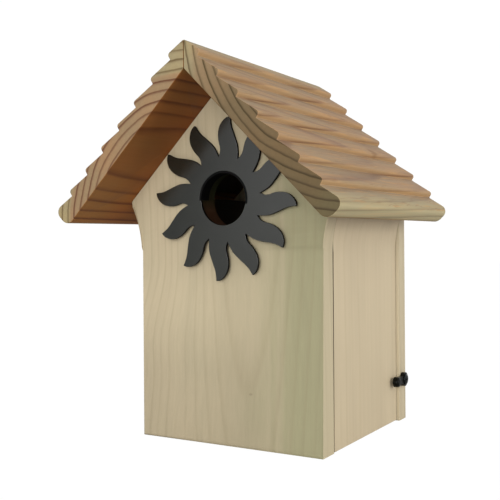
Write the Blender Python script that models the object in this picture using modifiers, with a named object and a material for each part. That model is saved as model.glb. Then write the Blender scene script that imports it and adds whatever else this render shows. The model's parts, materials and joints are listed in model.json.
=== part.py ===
"""Wooden nest box with a saw-tooth roof, a sun-shaped entrance plate and a side door.

Frame: metres, +Z up, -Y is the front, origin at the bottom centre of the whole box.
The boards are glued and dowelled; the back is screwed on; the right side is a door
that swings out on two pins near its top and is held shut by a turn-button.
"""

import math

import bmesh
import bpy
from mathutils import Matrix, Vector
from mathutils.geometry import intersect_line_sphere_2d

MM = 0.001

# ---------------------------------------------------------------- driving dimensions

GAP = 0.3 * MM                      # air between pieces that touch
CUT_PAST = 5.0 * MM                 # how far cutters run past what they cut

# Body
BODY_WIDTH = 130.0 * MM             # across the front board, low down
INNER_DEPTH = 104.0 * MM            # front board's inner face to back board's inner face
FRONT_THICKNESS = 15.0 * MM
BACK_THICKNESS = 14.0 * MM
SIDE_THICKNESS = 15.0 * MM
FLOOR_THICKNESS = 12.0 * MM
BACK_STANDS_PROUD = 2.0 * MM        # back board past the side boards, each side
GABLE_CORNER_HEIGHT = 151.6 * MM    # where the flared side meets the roof
FLARE = 7.9 * MM                    # how far the cove carries each side out
FLARE_RADIUS = 75.0 * MM
SIDE_TOP_ABOVE_CORNER = 4.4 * MM    # flat inner top of the side boards
VENT_GAP = 1.6 * MM                 # air slot between side boards and roof
FRONT_EDGE_RADIUS = 2.5 * MM
BACK_EDGE_RADIUS = 2.2 * MM
EDGE_SEGMENTS = 4
COVE_SEGMENTS = 16

# Roof
PITCH = math.radians(45.0)
FRONT_OVERHANG = 43.0 * MM
EAVE_REACH = 125.5 * MM             # ridge to eave end, along the underside
COURSE_COUNT = 8
COURSE_LENGTH = 17.8 * MM
FIRST_NOTCH = 2.4 * MM              # from the ridge line, along the slope
NOTCH_THICKNESS = 10.9 * MM         # board left under each notch
COURSE_ANGLE = math.radians(12.5)   # each course lies flatter than the roof
NOSE_RADIUS = 2.0 * MM
EAVE_TOP_RADIUS = 4.5 * MM
EAVE_BOTTOM_RADIUS = 6.0 * MM

# Entrance and its sun plate
ENTRANCE_ABOVE_CORNER = 0.2 * MM    # hole's centre over the gable's corners
ENTRANCE_RADIUS = 16.0 * MM
SLEEVE_WALL = 1.0 * MM
SLEEVE_DEPTH = 6.7 * MM             # how far the open sleeve goes into the wood
SLEEVE_FROM = math.radians(-11.0)   # it lines the hole's top, a little more than half of it
SLEEVE_TO = math.radians(181.0)
PLATE_THICKNESS = 2.0 * MM
ENTRANCE_SEGMENTS = 28              # facets of half the round hole
PETAL_COUNT = 12
PETAL_TIP_RADIUS = 50.4 * MM
PETAL_VALLEY_RADIUS = 26.0 * MM
PETAL_FIRST_ANGLE = -6.2            # degrees from +X, counter-clockwise
# One petal: share of the way from valley to tip, degrees from the petal's own angle
PETAL_VALLEY_ANGLE = -17.4
PETAL_HOLLOW_SIDE = ((0.28, -12.4), (0.53, -6.2), (0.77, -1.5))
PETAL_TIP = (1.0, 0.1)
PETAL_FULL_SIDE = ((0.97, 2.9), (0.86, 6.8), (0.71, 9.7), (0.45, 11.0), (0.17, 9.4))
PETAL_CURVE_STEPS = 3               # straight bits between two of those points

# Door, its pins and its turn-button
DOOR_SIDE_GAP = 0.5 * MM            # air at the door's rear edge and over the floor's end
DOOR_BOTTOM_GAP = 0.5 * MM
DOOR_RELIEF_LOW = 0.5 * MM          # planed off the front edge at the bottom
DOOR_RELIEF_HIGH = 1.3 * MM         # and just under the pivot
DOOR_RELIEF_TAPER = 9.0 * MM
DOOR_RELIEF_BELOW_PIN = 4.0 * MM    # full wood left between the relief and the pin
PIVOT_OUTWARD_SHIFT = -0.5 * MM     # pivot from the middle of the board's thickness
PIVOT_BELOW_CORNER = 0.3 * MM       # pivot under the 45 degree line through the corner
PIN_RADIUS = 1.5 * MM
PIN_CHAMFER = 0.3 * MM
PIN_IN_BOARD = 8.0 * MM
PIN_IN_DOOR = 14.0 * MM
BUTTON_HEIGHT = 28.5 * MM
BUTTON_FROM_INNER_FACE = 5.2 * MM   # pivot behind the back board's inner face
BUTTON_REACH = 15.0 * MM
BUTTON_HUB_RADIUS = 4.8 * MM
BUTTON_HUB_THICKNESS = 2.4 * MM
BUTTON_KNOB_RADIUS = 3.4 * MM
BUTTON_KNOB_THICKNESS = 4.0 * MM
BUTTON_WAIST = 2.7 * MM             # half width of the arm
BUTTON_SEGMENTS = 24
BUTTON_KNOB_EDGE = 1.7 * MM         # radius of the knob's upper edge
BUTTON_KNOB_LIP = 0.05 * MM         # knob past the arm's end, all round
BUTTON_KNOB_FOOT = 0.2 * MM         # knob starts this far above the seat

# Floor
DRAIN_RADIUS = 2.5 * MM
DRAIN_INSET = 16.0 * MM

# Dowels and screws
DOWEL_RADIUS = 3.0 * MM
DOWEL_CHAMFER = 0.7 * MM
ROOF_DOWEL_DEPTHS = (12.0 * MM, 7.5 * MM)      # into the gable board, into the roof
PANEL_DOWEL_DEPTHS = (9.0 * MM, 14.0 * MM)     # into the front board, into the panel
ROOF_DOWEL_PLACES = (38.0 * MM, 84.0 * MM)     # from the ridge, along the slope
WALL_FIXING_HEIGHTS = (42.0 * MM, 112.0 * MM)
FLOOR_FIXING_REACH = 28.0 * MM                 # either side of the middle
SCREW_RADIUS = 1.75 * MM
SCREW_HEAD_RADIUS = 3.5 * MM
SCREW_LENGTH = 34.0 * MM
HANGER_SCREW_LENGTH = 11.0 * MM
HANGER_SCREW_RADIUS = 1.3 * MM
HANGER_SCREW_HEAD_RADIUS = 2.6 * MM
BUTTON_SCREW_LENGTH = 16.0 * MM
BUTTON_SCREW_RADIUS = 1.4 * MM
BUTTON_SCREW_HEAD_RADIUS = 3.9 * MM
BUTTON_SCREW_DOME = 1.1 * MM
DOME_STEPS = 4                      # straight bits from a domed head's top to its edge
SCREW_HEAD_RIM = 0.4 * MM           # straight part of a countersunk head
SCREW_SINK = 0.4 * MM               # head below the board's face
RECESS_WIDTH = 1.1                  # cross recess, as shares of the head's radius
RECESS_SLOT = 0.24
RECESS_DEPTH = 0.9

# Keyhole hanger let into the back
HANGER_BELOW_APEX = 48.5 * MM       # plate's middle under the roof's inner apex
HANGER_WIDTH = 18.0 * MM
HANGER_LENGTH = 46.0 * MM
HANGER_THICKNESS = 1.5 * MM
HANGER_SCREW_REACH = 18.0 * MM
KEYHOLE_RADIUS = 5.2 * MM
KEYHOLE_SLOT_RADIUS = 2.6 * MM
KEYHOLE_RISE = 10.0 * MM
KEYHOLE_SEGMENTS = 24
KEYHOLE_POCKET_DEPTH = 6.5 * MM
KEYHOLE_POCKET_MARGIN = 1.4 * MM
HANGER_CORNER_RADIUS = 4.0 * MM
HANGER_SINK = 0.1 * MM              # plate below the back's face, and heads below the plate's

# ------------------------------------------------------------- sizes that follow

HALF_WIDTH = BODY_WIDTH / 2
BODY_DEPTH = FRONT_THICKNESS + INNER_DEPTH + BACK_THICKNESS
ROOF_LENGTH = FRONT_OVERHANG + BODY_DEPTH
FRONT_Y = -ROOF_LENGTH / 2 + FRONT_OVERHANG
INNER_FRONT_Y = FRONT_Y + FRONT_THICKNESS
INNER_BACK_Y = INNER_FRONT_Y + INNER_DEPTH
BACK_Y = INNER_BACK_Y + BACK_THICKNESS

CORNER_X = HALF_WIDTH + FLARE
APEX_Z = GABLE_CORNER_HEIGHT + CORNER_X * math.tan(PITCH)
GABLE_APEX_Z = APEX_Z - GAP / math.cos(PITCH)
VENT_APEX_Z = APEX_Z - VENT_GAP / math.cos(PITCH)
COVE_START_Z = GABLE_CORNER_HEIGHT - math.sqrt(FLARE_RADIUS ** 2 - (FLARE_RADIUS - FLARE) ** 2)
COVE_CENTRE = Vector((HALF_WIDTH + FLARE_RADIUS, COVE_START_Z))

ENTRANCE_HEIGHT = GABLE_CORNER_HEIGHT + ENTRANCE_ABOVE_CORNER
HANGER_HEIGHT = APEX_Z - HANGER_BELOW_APEX

WALL_INNER_X = HALF_WIDTH - SIDE_THICKNESS
SIDE_TOP_Z = GABLE_CORNER_HEIGHT + SIDE_TOP_ABOVE_CORNER
BACK_HALF_WIDTH = HALF_WIDTH + BACK_STANDS_PROUD
WOOD_HOLE_RADIUS = ENTRANCE_RADIUS + SLEEVE_WALL + GAP

TINY = 0.001 * MM                    # closer than this is the same place
ARC_STEP = math.radians(15.0)
SMALL_ROUND_SIDES = 12               # facets of dowels, pins, screws and their holes


def cove_end(apex_z):
    """Where the cove meets a slope that falls from apex_z at the roof's pitch."""
    top = Vector((0.0, apex_z))
    low = Vector((CORNER_X * 2, apex_z - CORNER_X * 2 * math.tan(PITCH)))
    hits = intersect_line_sphere_2d(top, low, COVE_CENTRE, FLARE_RADIUS, False)
    return min((hit for hit in hits if hit), key=lambda hit: hit.x)


DOOR_CORNER = cove_end(VENT_APEX_Z)
PIVOT_X = HALF_WIDTH - SIDE_THICKNESS / 2 + PIVOT_OUTWARD_SHIFT
PIVOT_Z = DOOR_CORNER.y - (DOOR_CORNER.x - PIVOT_X) - PIVOT_BELOW_CORNER
BUTTON_PIVOT_Y = INNER_BACK_Y + BUTTON_FROM_INNER_FACE
BUTTON_SEAT_X = BACK_HALF_WIDTH + GAP

# ----------------------------------------------------------------------- helpers


def clear_scene():
    for old in list(bpy.data.objects):
        bpy.data.objects.remove(old, do_unlink=True)


def new_collection(name):
    collection = bpy.data.collections.new(name)
    bpy.context.scene.collection.children.link(collection)
    return collection


def finish(name, colour, roughness, metallic=0.0):
    material = bpy.data.materials.new(name)
    material.use_nodes = True
    shader = material.node_tree.nodes["Principled BSDF"]
    shader.inputs["Base Color"].default_value = (*colour, 1.0)
    shader.inputs["Roughness"].default_value = roughness
    shader.inputs["Metallic"].default_value = metallic
    return material


def add_piece(name, mesh, material=None, collection=None):
    piece = bpy.data.objects.new(name, mesh)
    (collection or PARTS).objects.link(piece)
    if material:
        mesh.materials.append(material)
    return piece


def smooth(piece, angle=math.radians(30.0)):
    piece.data.shade_smooth()
    piece.data.set_sharp_from_angle(angle=angle)


def round_corner(before, corner, after, radius):
    """Points of the arc that rounds one corner of an outline."""
    to_before = (before - corner).normalized()
    to_after = (after - corner).normalized()
    half = to_before.angle(to_after) / 2
    reach = radius / math.tan(half)
    start = corner + to_before * reach
    centre = corner + (to_before + to_after).normalized() * (radius / math.sin(half))
    first = start - centre
    turn = math.pi - 2 * half
    side = 1.0 if to_before.cross(to_after) < 0 else -1.0
    steps = max(2, round(turn / ARC_STEP))
    points = []
    for step in range(steps + 1):
        angle = side * turn * step / steps
        points.append(centre + Matrix.Rotation(angle, 2) @ first)
    return points


def rounded(corners):
    """An outline from (x, z, radius) corners, each rounded where its radius isn't 0."""
    places = [Vector(corner[:2]) for corner in corners]
    outline = []
    for index, corner in enumerate(corners):
        if corner[2] == 0:
            outline.append(places[index])
            continue
        after = places[(index + 1) % len(places)]
        outline += round_corner(places[index - 1], places[index], after, corner[2])
    return outline


def mirrored(right_half):
    """A closed outline from its right half, listed from the bottom up to the middle."""
    left = [Vector((-point.x, point.y)) for point in reversed(right_half) if point.x > TINY]
    return list(right_half) + left


def arc(centre, radius, start, end, steps):
    points = []
    for step in range(steps + 1):
        angle = start + (end - start) * step / steps
        points.append(centre + Vector((math.cos(angle), math.sin(angle))) * radius)
    return points


def flat_curve(thickness):
    curve = bpy.data.curves.new("outline", "CURVE")
    curve.dimensions = "2D"
    curve.fill_mode = "BOTH"
    curve.extrude = thickness / 2
    return curve


def add_outline(curve, outline):
    spline = curve.splines.new("POLY")
    spline.points.add(len(outline) - 1)
    for point, place in zip(spline.points, outline):
        point.co = (place.x, place.y, 0.0, 1.0)
    spline.use_cyclic_u = True


def curve_to_piece(name, curve, matrix, material=None, collection=None):
    """Turns a flat curve into a closed mesh and puts it where matrix says."""
    guide = bpy.data.objects.new("guide", curve)
    bpy.context.scene.collection.objects.link(guide)
    guide.matrix_world = matrix
    bpy.context.view_layer.update()
    depsgraph = bpy.context.evaluated_depsgraph_get()
    mesh = bpy.data.meshes.new_from_object(guide.evaluated_get(depsgraph))
    shape = bmesh.new()
    shape.from_mesh(mesh)
    bmesh.ops.remove_doubles(shape, verts=shape.verts, dist=2 * TINY)
    bmesh.ops.dissolve_limit(
        shape, angle_limit=math.radians(0.5), verts=shape.verts, edges=shape.edges
    )
    bmesh.ops.recalc_face_normals(shape, faces=shape.faces)
    shape.to_mesh(mesh)
    shape.free()
    mesh.name = name
    piece = add_piece(name, mesh, material, collection)
    piece.matrix_world = guide.matrix_world.copy()
    bpy.data.objects.remove(guide, do_unlink=True)
    return piece


def upright(y_middle):
    """Stands a flat outline up: its x stays X, its y becomes Z, centred on y_middle."""
    return Matrix.Translation((0.0, y_middle, 0.0)) @ Matrix.Rotation(math.pi / 2, 4, "X")


def sideways(x_middle):
    """Stands a flat outline in the Y-Z plane: its x becomes Y and its y becomes Z."""
    turn = Matrix(((0, 0, 1), (1, 0, 0), (0, 1, 0))).to_4x4()
    return Matrix.Translation((x_middle, 0.0, 0.0)) @ turn


def board(name, outline, y_low, y_high, material):
    curve = flat_curve(y_high - y_low)
    add_outline(curve, outline)
    return curve_to_piece(name, curve, upright((y_low + y_high) / 2), material)


def place_along(piece, start, direction):
    """Puts a piece's own origin at start, with its own -Z along direction."""
    turn = Vector((0, 0, -1)).rotation_difference(Vector(direction).normalized())
    piece.matrix_world = Matrix.Translation(start) @ turn.to_matrix().to_4x4()


def hide_cutter(cutter):
    cutter.hide_render = True
    cutter.display_type = "WIRE"
    return cutter


def subtract(target, cutter):
    modifier = target.modifiers.new(cutter.name, "BOOLEAN")
    modifier.operation = "DIFFERENCE"
    modifier.solver = "EXACT"
    modifier.object = cutter


def cylinder_mesh(name, radius, length, sides, chamfer=0.0):
    """A cylinder whose top is at its own origin and which runs down its own -Z."""
    mesh = bpy.data.meshes.new(name)
    shape = bmesh.new()
    bmesh.ops.create_cone(
        shape,
        cap_ends=True,
        segments=sides,
        radius1=radius,
        radius2=radius,
        depth=length,
        matrix=Matrix.Translation((0, 0, -length / 2)),
    )
    if chamfer:
        rims = []
        for edge in shape.edges:
            if abs(edge.verts[0].co.z - edge.verts[1].co.z) < TINY:
                rims.append(edge)
        bmesh.ops.bevel(
            shape, geom=rims, offset=chamfer, segments=1, profile=0.5, affect="EDGES", material=-1
        )
    shape.to_mesh(mesh)
    shape.free()
    return mesh


def bore(targets, start, direction, radius, depth, sides=SMALL_ROUND_SIDES):
    """Bores a round hole into each target, from start along direction."""
    name = "bore_%s_%d" % (targets[0].name, len(CUTTERS.objects))
    cutter = add_piece(name, cylinder_mesh(name, radius, depth, sides), None, CUTTERS)
    place_along(cutter, start, direction)
    hide_cutter(cutter)
    for target in targets:
        subtract(target, cutter)


def turned(name, profile, steps, material=None, collection=None):
    """A turned piece from a profile of (radius, height) points, top to bottom."""
    mesh = bpy.data.meshes.new(name)
    verts = [(radius, 0.0, height) for radius, height in profile]
    mesh.from_pydata(verts, [(i, i + 1) for i in range(len(verts) - 1)], [])
    piece = add_piece(name, mesh, material, collection)
    screw = piece.modifiers.new("turn", "SCREW")
    screw.axis = "Z"
    screw.angle = math.tau
    screw.steps = steps
    screw.render_steps = steps
    screw.use_merge_vertices = True
    screw.merge_threshold = TINY
    return piece


def box_cutter(name, size, matrix):
    mesh = bpy.data.meshes.new(name)
    shape = bmesh.new()
    bmesh.ops.create_cube(shape, size=1.0, matrix=Matrix.Diagonal((*size, 1.0)))
    shape.to_mesh(mesh)
    shape.free()
    cutter = add_piece(name, mesh, None, CUTTERS)
    cutter.matrix_world = matrix
    return hide_cutter(cutter)


# ------------------------------------------------------------------------ boards


def cove_points(end):
    """The hollow curve from the straight side out to where it meets a slope."""
    rise = math.asin((end.y - COVE_START_Z) / FLARE_RADIUS)
    return arc(COVE_CENTRE, FLARE_RADIUS, math.pi, math.pi - rise, COVE_SEGMENTS)


def round_upright_edges(piece, half_width, face_y, radius):
    """Rounds a board's outer edges along one face; the sloping top edges stay sharp."""
    shape = bmesh.new()
    shape.from_mesh(piece.data)
    shape.transform(piece.matrix_world)
    rims = []
    for edge in shape.edges:
        ends = [vert.co for vert in edge.verts]
        on_face = all(abs(end.y - face_y) < TINY for end in ends)
        at_side = all(abs(end.x) > half_width - TINY for end in ends)
        if on_face and at_side:
            rims.append(edge)
    bmesh.ops.bevel(
        shape,
        geom=rims,
        offset=radius,
        segments=EDGE_SEGMENTS,
        profile=0.5,
        affect="EDGES",
        material=-1,
    )
    shape.transform(piece.matrix_world.inverted())
    shape.to_mesh(piece.data)
    shape.free()


def make_front_board():
    corner = cove_end(GABLE_APEX_Z)
    half = [Vector((HALF_WIDTH, 0.0))]
    half += cove_points(corner)
    half.append(Vector((0.0, GABLE_APEX_Z)))
    piece = board("front_board", mirrored(half), FRONT_Y, INNER_FRONT_Y, PALE_PINE)
    round_upright_edges(piece, HALF_WIDTH, FRONT_Y, FRONT_EDGE_RADIUS)
    start = (0.0, FRONT_Y - CUT_PAST, ENTRANCE_HEIGHT)
    depth = FRONT_THICKNESS + 2 * CUT_PAST
    bore([piece], start, (0, 1, 0), WOOD_HOLE_RADIUS, depth, 2 * ENTRANCE_SEGMENTS)
    return piece


def make_back_board():
    shoulder_z = GABLE_APEX_Z - BACK_HALF_WIDTH * math.tan(PITCH)
    half = [
        Vector((BACK_HALF_WIDTH, 0.0)),
        Vector((BACK_HALF_WIDTH, shoulder_z)),
        Vector((0.0, GABLE_APEX_Z)),
    ]
    piece = board("back_board", mirrored(half), INNER_BACK_Y, BACK_Y, PALE_PINE)
    round_upright_edges(piece, BACK_HALF_WIDTH, INNER_BACK_Y, BACK_EDGE_RADIUS)
    round_upright_edges(piece, BACK_HALF_WIDTH, BACK_Y, BACK_EDGE_RADIUS)
    return piece


def side_outline(bottom_z):
    """Section of a side board on the right: straight inside, coved outside."""
    flat_end_x = (VENT_APEX_Z - SIDE_TOP_Z) / math.tan(PITCH)
    outline = [Vector((WALL_INNER_X, bottom_z)), Vector((HALF_WIDTH, bottom_z))]
    outline += cove_points(DOOR_CORNER)
    outline.append(Vector((flat_end_x, SIDE_TOP_Z)))
    outline.append(Vector((WALL_INNER_X, SIDE_TOP_Z)))
    return outline


def make_left_wall():
    outline = [Vector((-point.x, point.y)) for point in side_outline(0.0)]
    return board("left_wall", outline, INNER_FRONT_Y + GAP, INNER_BACK_Y - GAP, PALE_PINE)


def make_side_door():
    front_y = INNER_FRONT_Y + GAP
    rear_y = INNER_BACK_Y - DOOR_SIDE_GAP
    piece = board("side_door", side_outline(DOOR_BOTTOM_GAP), front_y, rear_y, WARM_PINE)
    relief_top = PIVOT_Z - 2 * PIN_RADIUS - DOOR_RELIEF_BELOW_PIN
    outline = [
        Vector((front_y - CUT_PAST, -CUT_PAST)),
        Vector((front_y + DOOR_RELIEF_LOW, -CUT_PAST)),
        Vector((front_y + DOOR_RELIEF_HIGH, relief_top - DOOR_RELIEF_TAPER)),
        Vector((front_y - GAP, relief_top)),
        Vector((front_y - CUT_PAST, relief_top)),
    ]
    curve = flat_curve(2 * (SIDE_THICKNESS + FLARE + CUT_PAST))
    add_outline(curve, outline)
    cutter = curve_to_piece("door_relief", curve, sideways(HALF_WIDTH), None, CUTTERS)
    subtract(piece, hide_cutter(cutter))
    place_on_axis(piece, (PIVOT_X, 0.0, PIVOT_Z))
    return piece


def place_on_axis(piece, pivot):
    """Moves a piece's origin to a point of its joint's axis; the shape stays put."""
    offset = Matrix.Translation(pivot)
    piece.data.transform(offset.inverted() @ piece.matrix_world)
    piece.matrix_world = offset


def make_floor():
    low_x = -WALL_INNER_X + GAP
    high_x = WALL_INNER_X - DOOR_SIDE_GAP
    outline = [
        Vector((low_x, 0.0)),
        Vector((high_x, 0.0)),
        Vector((high_x, FLOOR_THICKNESS)),
        Vector((low_x, FLOOR_THICKNESS)),
    ]
    piece = board("floor_board", outline, INNER_FRONT_Y + GAP, INNER_BACK_Y - GAP, PALE_PINE)
    middle_y = (INNER_FRONT_Y + INNER_BACK_Y) / 2
    for side_x in (-1, 1):
        for side_y in (-1, 1):
            x = side_x * (WALL_INNER_X - DRAIN_INSET)
            y = middle_y + side_y * (INNER_DEPTH / 2 - DRAIN_INSET)
            top = (x, y, FLOOR_THICKNESS + CUT_PAST)
            bore([piece], top, (0, 0, -1), DRAIN_RADIUS, FLOOR_THICKNESS + 2 * CUT_PAST)
    return piece


# -------------------------------------------------------------------------- roof


def on_slope(along, above):
    """Right-hand slope: distance down from the ridge and above the underside, to X-Z."""
    x = along * math.cos(PITCH) + above * math.sin(PITCH)
    z = APEX_Z - along * math.sin(PITCH) + above * math.cos(PITCH)
    return Vector((x, z))


def roof_corners():
    """Corners of the right roof board's section, as (along, above, radius)."""
    lean = math.tan(COURSE_ANGLE)
    riser = COURSE_LENGTH * math.sin(COURSE_ANGLE)
    last_notch = FIRST_NOTCH + (COURSE_COUNT - 2) * COURSE_LENGTH
    eave_top = NOTCH_THICKNESS + (EAVE_REACH - last_notch) * lean
    mitre = GAP / 2 / math.cos(PITCH)
    corners = [
        (mitre, 0.0, 0.0),
        (EAVE_REACH, 0.0, EAVE_BOTTOM_RADIUS),
        (EAVE_REACH, eave_top, EAVE_TOP_RADIUS),
    ]
    for course in reversed(range(COURSE_COUNT - 1)):
        notch = FIRST_NOTCH + course * COURSE_LENGTH
        corners.append((notch, NOTCH_THICKNESS, 0.0))
        nose_along = notch - riser * math.sin(COURSE_ANGLE)
        nose_above = NOTCH_THICKNESS + riser * math.cos(COURSE_ANGLE)
        corners.append((nose_along, nose_above, NOSE_RADIUS))
    # The first course runs up to the mitre, where along + above * tan(pitch) = mitre.
    start = NOTCH_THICKNESS - (FIRST_NOTCH - COURSE_LENGTH) * lean
    ridge_above = (start + mitre * lean) / (1 + lean * math.tan(PITCH))
    corners.append((mitre - ridge_above * math.tan(PITCH), ridge_above, 0.0))
    return corners


def make_roof_board(name, side):
    section = rounded(roof_corners())
    outline = []
    for point in section:
        place = on_slope(point.x, point.y)
        outline.append(Vector((side * place.x, place.y)))
    return board(name, outline, FRONT_Y - FRONT_OVERHANG, BACK_Y, ROOF_PINE)


# ---------------------------------------------------------------------- entrance


def polar(radius, degrees):
    angle = math.radians(degrees)
    return Vector((math.cos(angle) * radius, math.sin(angle) * radius))


def petal_outline():
    """The sun's edge: each petal as (place, is it the sharp corner of a valley or a tip)."""
    reach = PETAL_TIP_RADIUS - PETAL_VALLEY_RADIUS
    points = []
    for petal in range(PETAL_COUNT):
        turn = PETAL_FIRST_ANGLE + 360.0 / PETAL_COUNT * petal
        points.append((polar(PETAL_VALLEY_RADIUS, turn + PETAL_VALLEY_ANGLE), True))
        for share, angle in (*PETAL_HOLLOW_SIDE, PETAL_TIP, *PETAL_FULL_SIDE):
            place = polar(PETAL_VALLEY_RADIUS + share * reach, turn + angle)
            points.append((place, (share, angle) == PETAL_TIP))
    return points


def plate_hole():
    """Plain arc below, and a wider one above that takes the open sleeve."""
    middle = Vector((0.0, 0.0))
    upper = arc(middle, WOOD_HOLE_RADIUS, SLEEVE_FROM, SLEEVE_TO, ENTRANCE_SEGMENTS)
    lower_end = math.tau + SLEEVE_FROM
    lower = arc(middle, ENTRANCE_RADIUS, SLEEVE_TO, lower_end, ENTRANCE_SEGMENTS)
    return upper + lower


def at_entrance(y_low, y_high):
    return Matrix.Translation((0.0, 0.0, ENTRANCE_HEIGHT)) @ upright((y_low + y_high) / 2)


def make_sun_plate():
    curve = flat_curve(PLATE_THICKNESS)
    curve.resolution_u = PETAL_CURVE_STEPS
    points = petal_outline()
    spline = curve.splines.new("BEZIER")
    spline.bezier_points.add(len(points) - 1)
    for knot, (place, is_sharp) in zip(spline.bezier_points, points):
        knot.co = (place.x, place.y, 0.0)
        handle = "VECTOR" if is_sharp else "AUTO"
        knot.handle_left_type = handle
        knot.handle_right_type = handle
    spline.use_cyclic_u = True
    add_outline(curve, plate_hole())
    rear = FRONT_Y - GAP
    matrix = at_entrance(rear - PLATE_THICKNESS, rear)
    return curve_to_piece("sun_plate", curve, matrix, DARK_METAL)


def make_entrance_sleeve():
    """An open ring that lines the upper part of the hole."""
    middle = Vector((0.0, 0.0))
    outer = ENTRANCE_RADIUS + SLEEVE_WALL
    start = SLEEVE_FROM + GAP / outer
    end = SLEEVE_TO - GAP / outer
    outline = arc(middle, outer, start, end, ENTRANCE_SEGMENTS)
    outline += arc(middle, ENTRANCE_RADIUS, end, start, ENTRANCE_SEGMENTS)
    front = FRONT_Y - GAP - PLATE_THICKNESS
    rear = FRONT_Y + SLEEVE_DEPTH
    curve = flat_curve(rear - front)
    add_outline(curve, outline)
    return curve_to_piece("entrance_sleeve", curve, at_entrance(front, rear), BLACK_METAL)


# --------------------------------------------------------------- dowels and pins


def dowel(name, start, direction, depths, boards):
    """A dowel from depths[0] before start to depths[1] past it, and its holes."""
    direction = Vector(direction).normalized()
    head = Vector(start) - direction * (depths[0] - GAP)
    length = depths[0] + depths[1] - 2 * GAP
    mesh = cylinder_mesh(name, DOWEL_RADIUS - GAP, length, SMALL_ROUND_SIDES, DOWEL_CHAMFER)
    piece = add_piece(name, mesh, DOWEL_BEECH)
    place_along(piece, head, direction)
    smooth(piece)
    hole_start = Vector(start) - direction * depths[0]
    bore(boards, hole_start, direction, DOWEL_RADIUS, depths[0] + depths[1])
    return piece


def make_roof_dowels(front, back, roofs):
    for side_name, side, roof in (("left", -1, roofs[0]), ("right", 1, roofs[1])):
        up = (side * math.sin(PITCH), 0.0, math.cos(PITCH))
        for end_name, gable in (("front", front), ("back", back)):
            y = FRONT_Y + FRONT_THICKNESS / 2
            if gable is back:
                y = BACK_Y - BACK_THICKNESS / 2
            for number, along in enumerate(ROOF_DOWEL_PLACES, 1):
                place = on_slope(along, 0.0)
                name = "roof_dowel_%s_%s_%d" % (end_name, side_name, number)
                start = (side * place.x, y, place.y)
                dowel(name, start, up, ROOF_DOWEL_DEPTHS, [gable, roof])


def wall_middle_x():
    return -HALF_WIDTH + SIDE_THICKNESS / 2


def make_panel_dowels(front, left_wall, floor):
    for number, height in enumerate(WALL_FIXING_HEIGHTS, 1):
        start = (wall_middle_x(), INNER_FRONT_Y, height)
        dowel("wall_dowel_%d" % number, start, (0, 1, 0), PANEL_DOWEL_DEPTHS, [front, left_wall])
    for number, side in enumerate((-1, 1), 1):
        start = (side * FLOOR_FIXING_REACH, INNER_FRONT_Y, FLOOR_THICKNESS / 2)
        dowel("floor_dowel_%d" % number, start, (0, 1, 0), PANEL_DOWEL_DEPTHS, [front, floor])


def make_door_pins(front, back, door):
    ends = (
        ("door_pin_front", INNER_FRONT_Y, 1, front, PIN_IN_DOOR),
        ("door_pin_back", INNER_BACK_Y, -1, back, PIN_IN_DOOR),
    )
    for name, face_y, into, gable, depth in ends:
        direction = Vector((0, into, 0))
        start = Vector((PIVOT_X, face_y, PIVOT_Z)) - direction * PIN_IN_BOARD
        length = PIN_IN_BOARD + depth - GAP
        mesh = cylinder_mesh(name, PIN_RADIUS, length, SMALL_ROUND_SIDES, PIN_CHAMFER)
        piece = add_piece(name, mesh, BRIGHT_STEEL)
        place_along(piece, start + direction * GAP, direction)
        smooth(piece)
        bore([gable, door], start, direction, PIN_RADIUS + GAP, PIN_IN_BOARD + depth + GAP)


# ------------------------------------------------------------------------ screws


def screw_profile(radius, head_radius, length, dome):
    """Countersunk head, or a low domed one, with a plain shank and a point."""
    if dome:
        head = [(0.0, dome)]
        for step in range(1, DOME_STEPS):
            angle = math.pi / 2 * (1 - step / DOME_STEPS)
            head.append((head_radius * math.cos(angle), dome * math.sin(angle)))
        head += [(head_radius, 0.0), (radius, 0.0)]
    else:
        head = [(0.0, 0.0), (head_radius, 0.0), (head_radius, -SCREW_HEAD_RIM)]
        head.append((radius, -SCREW_HEAD_RIM - (head_radius - radius)))
    return head + [(radius, -length + 2 * radius), (0.0, -length)]


def wood_screw(name, start, direction, sizes, boards, material, dome=0.0):
    """A cross-head screw with its countersunk hole; sizes are shank, head and length."""
    radius, head_radius, length = sizes
    profile = screw_profile(radius, head_radius, length, dome)
    piece = turned(name, profile, SMALL_ROUND_SIDES, material)
    place_along(piece, start, direction)
    smooth(piece)
    recess = Matrix.Translation((0, 0, dome))
    for number, quarter in enumerate((0.0, math.pi / 2)):
        turn = Matrix.Rotation(quarter, 4, "Z")
        shares = (RECESS_WIDTH, RECESS_SLOT, RECESS_DEPTH)
        size = [share * head_radius for share in shares]
        cutter_name = "%s_recess_%d" % (name, number)
        subtract(piece, box_cutter(cutter_name, size, piece.matrix_world @ recess @ turn))
    hole = [(head_radius + GAP, CUT_PAST), (head_radius + GAP, -SCREW_HEAD_RIM)]
    hole.append((radius + GAP, -SCREW_HEAD_RIM - (head_radius - radius)))
    if dome:
        hole = [(radius + GAP, CUT_PAST)]
    hole = [(0.0, hole[0][1])] + hole + [(radius + GAP, -length - GAP), (0.0, -length - GAP)]
    cutter = turned("%s_hole" % name, hole, SMALL_ROUND_SIDES, None, CUTTERS)
    place_along(cutter, start, direction)
    hide_cutter(cutter)
    for target in boards:
        subtract(target, cutter)
    return piece


def make_back_screws(back, left_wall, floor):
    sizes = (SCREW_RADIUS, SCREW_HEAD_RADIUS, SCREW_LENGTH)
    sunk = BACK_Y - SCREW_SINK
    for number, height in enumerate(WALL_FIXING_HEIGHTS, 1):
        start = (wall_middle_x(), sunk, height)
        boards = [back, left_wall]
        wood_screw("wall_screw_%d" % number, start, (0, -1, 0), sizes, boards, ZINC_STEEL)
    for number, side in enumerate((-1, 1), 1):
        start = (side * FLOOR_FIXING_REACH, sunk, FLOOR_THICKNESS / 2)
        boards = [back, floor]
        wood_screw("floor_screw_%d" % number, start, (0, -1, 0), sizes, boards, ZINC_STEEL)


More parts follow.
